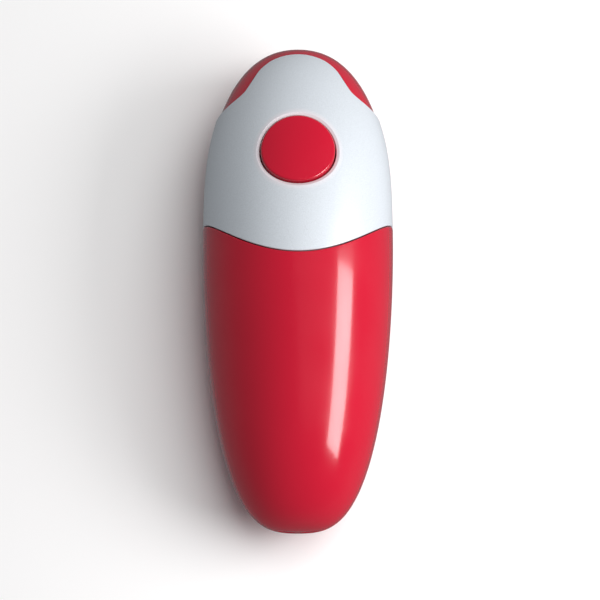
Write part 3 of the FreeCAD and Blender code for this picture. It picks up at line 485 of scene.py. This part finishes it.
def form_normal(point):
    """The form's normal at a point, or None where the point isn't on the form."""
    width, top, belly = section(point.y)
    if width < 1e-5:
        return None
    rise = point.z - PART_LINE
    level = rise / (top if rise > 0 else belly)
    off = math.hypot(point.x / width, level) - 1
    if abs(off) * min(width, top, belly) > SMOOTH_NEAR:
        return None
    return facing(*onto(point))


# ---------------------------------------------------------------- materials

class Nodes:
    """Short calls for building a material's node tree."""

    def __init__(self, name):
        self.material = bpy.data.materials.new(name)
        self.material.use_nodes = True
        self.tree = self.material.node_tree
        self.shader = self.tree.nodes["Principled BSDF"]
        self.place = self.add("ShaderNodeTexCoord").outputs["Object"]

    def add(self, kind, **values):
        node = self.tree.nodes.new(kind)
        for key, value in values.items():
            if hasattr(node, key):
                setattr(node, key, value)
            else:
                node.inputs[key.replace("_", " ")].default_value = value
        return node

    def link(self, source, target):
        self.tree.links.new(source, target)

    def noise(self, scale, detail=3.0, stretch=(1, 1, 1)):
        mapping = self.add("ShaderNodeMapping")
        mapping.inputs["Scale"].default_value = stretch
        self.link(self.place, mapping.inputs["Vector"])
        noise = self.add("ShaderNodeTexNoise", Scale=scale, Detail=detail)
        self.link(mapping.outputs["Vector"], noise.inputs["Vector"])
        return noise.outputs["Fac"]

    def between(self, factor, low, high, start=0.3, end=0.7):
        """Maps a factor from a range onto two values."""
        node = self.add("ShaderNodeMapRange")
        node.inputs["From Min"].default_value = start
        node.inputs["From Max"].default_value = end
        node.inputs["To Min"].default_value = low
        node.inputs["To Max"].default_value = high
        self.link(factor, node.inputs["Value"])
        return node.outputs["Result"]

    def colours(self, factor, *stops):
        ramp = self.add("ShaderNodeValToRGB").color_ramp
        node = ramp.id_data.nodes[-1]
        while len(ramp.elements) < len(stops):
            ramp.elements.new(0.5)
        for element, (at, colour) in zip(ramp.elements, stops):
            element.position = at
            element.color = (*colour, 1)
        self.link(factor, node.inputs["Fac"])
        return node.outputs["Color"]

    def bump(self, height, strength, distance):
        node = self.add("ShaderNodeBump", Strength=strength, Distance=distance)
        self.link(height, node.inputs["Height"])
        self.link(node.outputs["Normal"], self.shader.inputs["Normal"])

    def set(self, **values):
        for key, value in values.items():
            self.shader.inputs[key.replace("_", " ")].default_value = value


def shade(colour, amount):
    return tuple(min(c * amount, 1) for c in colour)


def glossy_plastic(name, colour, roughness=0.12, coat=0.6):
    """Polished moulding: deep colour, faint flow marks, a trace of handling haze."""
    m = Nodes(name)
    m.link(m.colours(m.noise(14, 4), (0.3, shade(colour, 0.93)), (0.7, shade(colour, 1.05))),
           m.shader.inputs["Base Color"])
    m.link(m.between(m.noise(60, 5), roughness * 0.8, roughness * 1.35), m.shader.inputs["Roughness"])
    m.bump(m.noise(420, 2), 0.035, 0.00012)
    m.set(Coat_Weight=coat, Coat_Roughness=0.09, IOR=1.45)
    return m.material


def pearl_paint(name, colour, rim_highlight_colour):
    """Silver lacquer: fine flake under a satin clear coat, with a painted highlight: a pale pink colour on
    the button's countersunk rim that stands in for window light and red bounce caught there.
    """
    m = Nodes(name)
    flake = m.noise(5200, 1)
    silver = m.colours(flake, (0.35, shade(colour, 0.9)), (0.65, shade(colour, 1.06)))
    # Painted highlight: near the button the silver gives way to a pale pink, for window light and red bounce
    # caught on the rim.
    away = m.add("ShaderNodeVectorMath", operation="DISTANCE")
    m.link(m.place, away.inputs[0])
    away.inputs[1].default_value = over_button(0, 0, 1.0)[0]
    rim_highlight_mask = m.colours(away.outputs["Value"], (0.0, (1, 1, 1)), (RING_HIGHLIGHT_TO, (1, 1, 1)),
                         (RING_HIGHLIGHT_FADED_BY, (0, 0, 0)))
    silver_and_rim_highlight = m.add("ShaderNodeMix", data_type="RGBA")
    m.link(rim_highlight_mask, silver_and_rim_highlight.inputs["Factor"])
    m.link(silver, silver_and_rim_highlight.inputs["A"])
    silver_and_rim_highlight.inputs["B"].default_value = (*rim_highlight_colour, 1)
    m.link(silver_and_rim_highlight.outputs["Result"], m.shader.inputs["Base Color"])
    m.link(m.between(flake, 0.34, 0.46), m.shader.inputs["Roughness"])
    m.bump(m.noise(700, 2), 0.03, 0.0001)
    m.set(Metallic=0.2, Coat_Weight=0.35, Coat_Roughness=0.22)
    return m.material


def matt_plastic(name, colour, roughness=0.5):
    """Fine spark-eroded texture on a moulded part."""
    m = Nodes(name)
    m.link(m.colours(m.noise(40, 4), (0.3, shade(colour, 0.88)), (0.7, shade(colour, 1.1))),
           m.shader.inputs["Base Color"])
    m.link(m.between(m.noise(150, 3), roughness * 0.85, roughness * 1.15), m.shader.inputs["Roughness"])
    m.bump(m.noise(1800, 2), 0.12, 0.0001)
    return m.material


def brushed_metal(name, colour, roughness=0.28, stretch=(1, 30, 30)):
    """Metal with fine grinding lines and a little staining."""
    m = Nodes(name)
    grain = m.noise(260, 4, stretch)
    m.link(m.colours(m.noise(35, 3), (0.3, shade(colour, 0.86)), (0.7, shade(colour, 1.08))),
           m.shader.inputs["Base Color"])
    m.link(m.between(grain, roughness * 0.7, roughness * 1.5), m.shader.inputs["Roughness"])
    m.bump(grain, 0.12, 0.00006)
    m.set(Metallic=1.0)
    return m.material


def battery_sleeve(name, colour, band=(0.55, 0.38, 0.16), waves=110.0):
    """Dark sleeve with copper-coloured bands that come round evenly along Y."""
    m = Nodes(name)
    split = m.add("ShaderNodeSeparateXYZ")
    m.link(m.place, split.inputs["Vector"])
    wave = m.add("ShaderNodeMath", operation="SINE")
    scaled = m.add("ShaderNodeMath", operation="MULTIPLY")
    scaled.inputs[1].default_value = waves
    m.link(split.outputs["Y"], scaled.inputs[0])
    m.link(scaled.outputs[0], wave.inputs[0])
    m.link(m.colours(wave.outputs[0], (0.55, colour), (0.6, band)),
           m.shader.inputs["Base Color"])
    m.link(m.between(m.noise(90, 3), 0.22, 0.34), m.shader.inputs["Roughness"])
    m.bump(m.noise(900, 2), 0.03, 0.0001)
    m.set(Metallic=0.5)
    return m.material


# Each slot's maker and what it is given after the name.
MAKERS = {
    "red_gloss": (glossy_plastic, (0.52, 0.004, 0.025), 0.2, 0.75),
    # The second colour is a painted highlight on the button's rim, not the paint's own colour.
    "silver_cover": (pearl_paint, (0.70, 0.75, 0.80), (0.96, 0.84, 0.87)),
    "stainless": (brushed_metal, (0.60, 0.60, 0.61), 0.3),
    "hard_steel": (brushed_metal, (0.46, 0.46, 0.48), 0.26, (30, 30, 1)),
    "bright_steel": (brushed_metal, (0.72, 0.72, 0.74), 0.16),
    "screw_steel": (brushed_metal, (0.50, 0.49, 0.47), 0.34),
    "white_gear": (matt_plastic, (0.80, 0.79, 0.74), 0.42),
    "grey_frame": (matt_plastic, (0.11, 0.11, 0.12)),
    "black_plastic": (matt_plastic, (0.03, 0.03, 0.033)),
    "brass_bush": (brushed_metal, (0.68, 0.47, 0.20), 0.3),
    "magnet": (matt_plastic, (0.045, 0.045, 0.05), 0.4),
    "board_green": (glossy_plastic, (0.02, 0.16, 0.07), 0.3, 0.3),
    "battery_skin": (battery_sleeve, (0.06, 0.07, 0.085)),
    "red_wire": (glossy_plastic, (0.5, 0.02, 0.02), 0.35, 0.1),
    "black_wire": (glossy_plastic, (0.02, 0.02, 0.02), 0.35, 0.1),
}
made = {}


def material(slot):
    """The slot's material, made the first time that it is asked for."""
    if slot not in made:
        maker, *values = MAKERS[slot]
        made[slot] = maker(slot, *values)
    return made[slot]


# ---------------------------------------------------------------- CAD nodes that stay

# Nodes whose sharp edges are softened, with the width in millimetres.
SOFTENED = {"head_plate": 0.15, "rim_guides": 0.3, "magnet_holder": 0.35, "lid_magnet": 0.2,
            "cutter_arm": 0.25, "cutter_axle": 0.2, "drive_wheel_screw": 0.12, "case_screws": 0.1,
            "battery_tray": 0.2}


def dress_nodes():
    """A material on every CAD node, and softened edges on those that SOFTENED lists."""
    for entry in frame["record"]["subparts"]:
        node = frame["nodes"][entry["node"]]
        if not node.material_slots:
            node.data.materials.append(None)
        for holder in node.material_slots:
            holder.material = material(entry["material_slot"])
        if entry["node"] in SOFTENED:
            edge = node.modifiers.new("softened_edges", "BEVEL")
            edge.width = SOFTENED[entry["node"]] * MM
            edge.segments = 2
            edge.limit_method = "ANGLE"
            edge.angle_limit = math.radians(50)
            edge.harden_normals = True


# ---------------------------------------------------------------- room

def area_light(name, place, size, power, colour, aim):
    light = bpy.data.lights.new(name, "AREA")
    light.shape = "RECTANGLE"
    light.size, light.size_y = size
    light.energy = power
    light.color = colour
    lamp = bpy.data.objects.new(name, light)
    lamp.location = place
    lamp.rotation_mode = "QUATERNION"
    lamp.rotation_quaternion = (Vector(aim) - Vector(place)).to_track_quat("-Z", "Y")
    bpy.context.scene.collection.objects.link(lamp)
    return lamp


def make_floor():
    """A pale floor that lights the object but doesn't show in its gloss."""
    floor_mesh = bpy.data.meshes.new("floor")
    reach = 3.0
    corners = [(-reach, -reach, 0), (reach, -reach, 0), (reach, reach, 0), (-reach, reach, 0)]
    floor_mesh.from_pydata(corners, [], [(0, 1, 2, 3)])
    floor = bpy.data.objects.new("floor", floor_mesh)
    bpy.context.scene.collection.objects.link(floor)
    m = Nodes("floor_pale")
    m.link(m.colours(m.noise(3, 2), (0.3, (0.95, 0.95, 0.95)), (0.7, (0.98, 0.98, 0.98))),
           m.shader.inputs["Base Color"])
    m.set(Roughness=0.7)
    floor_mesh.materials.append(m.material)
    floor.visible_glossy = False


def make_light():
    """Dim bluish surroundings, a low window on the right and a soft lamp overhead."""
    world = bpy.data.worlds.new("room")
    bpy.context.scene.world = world
    world.use_nodes = True
    background = world.node_tree.nodes["Background"]
    background.inputs["Color"].default_value = (0.93, 0.96, 1.0, 1)
    background.inputs["Strength"].default_value = 0.17
    bpy.context.scene.view_settings.view_transform = "Standard"
    area_light("window", (0.50, -0.08, 0.36), (0.46, 0.22), 2.8, (1.0, 0.98, 0.98), (0, -0.02, 0.03))
    overhead = area_light("overhead", (0.40, 0.1, 1.0), (0.9, 0.9), 9.5, (1.0, 0.99, 0.98), (0, 0, 0))
    overhead.visible_glossy = False


def make_camera():
    """Nearly straight above, with the object's nose up."""
    elevation, distance = math.radians(74), 0.6
    back = Vector((0, -math.cos(elevation), math.sin(elevation)))
    up = Vector((0, math.sin(elevation), math.cos(elevation)))
    aim = Vector((0.0007, 0, 0.025)) - up * 0.0069
    data = bpy.data.cameras.new("camera")
    data.lens = 106.7
    camera = bpy.data.objects.new("camera", data)
    camera.location = aim + back * distance
    camera.rotation_mode = "QUATERNION"
    camera.rotation_quaternion = (-back).to_track_quat("-Z", "Y")
    bpy.context.scene.collection.objects.link(camera)
    bpy.context.scene.camera = camera


make_camera()
make_floor()
make_light()
dress_nodes()
head_skin()
rear_skin()
button_skin()
smooth_copy("lower_housing", "case", "red_gloss")
smooth_copy("battery_door", "battery_door", "red_gloss")
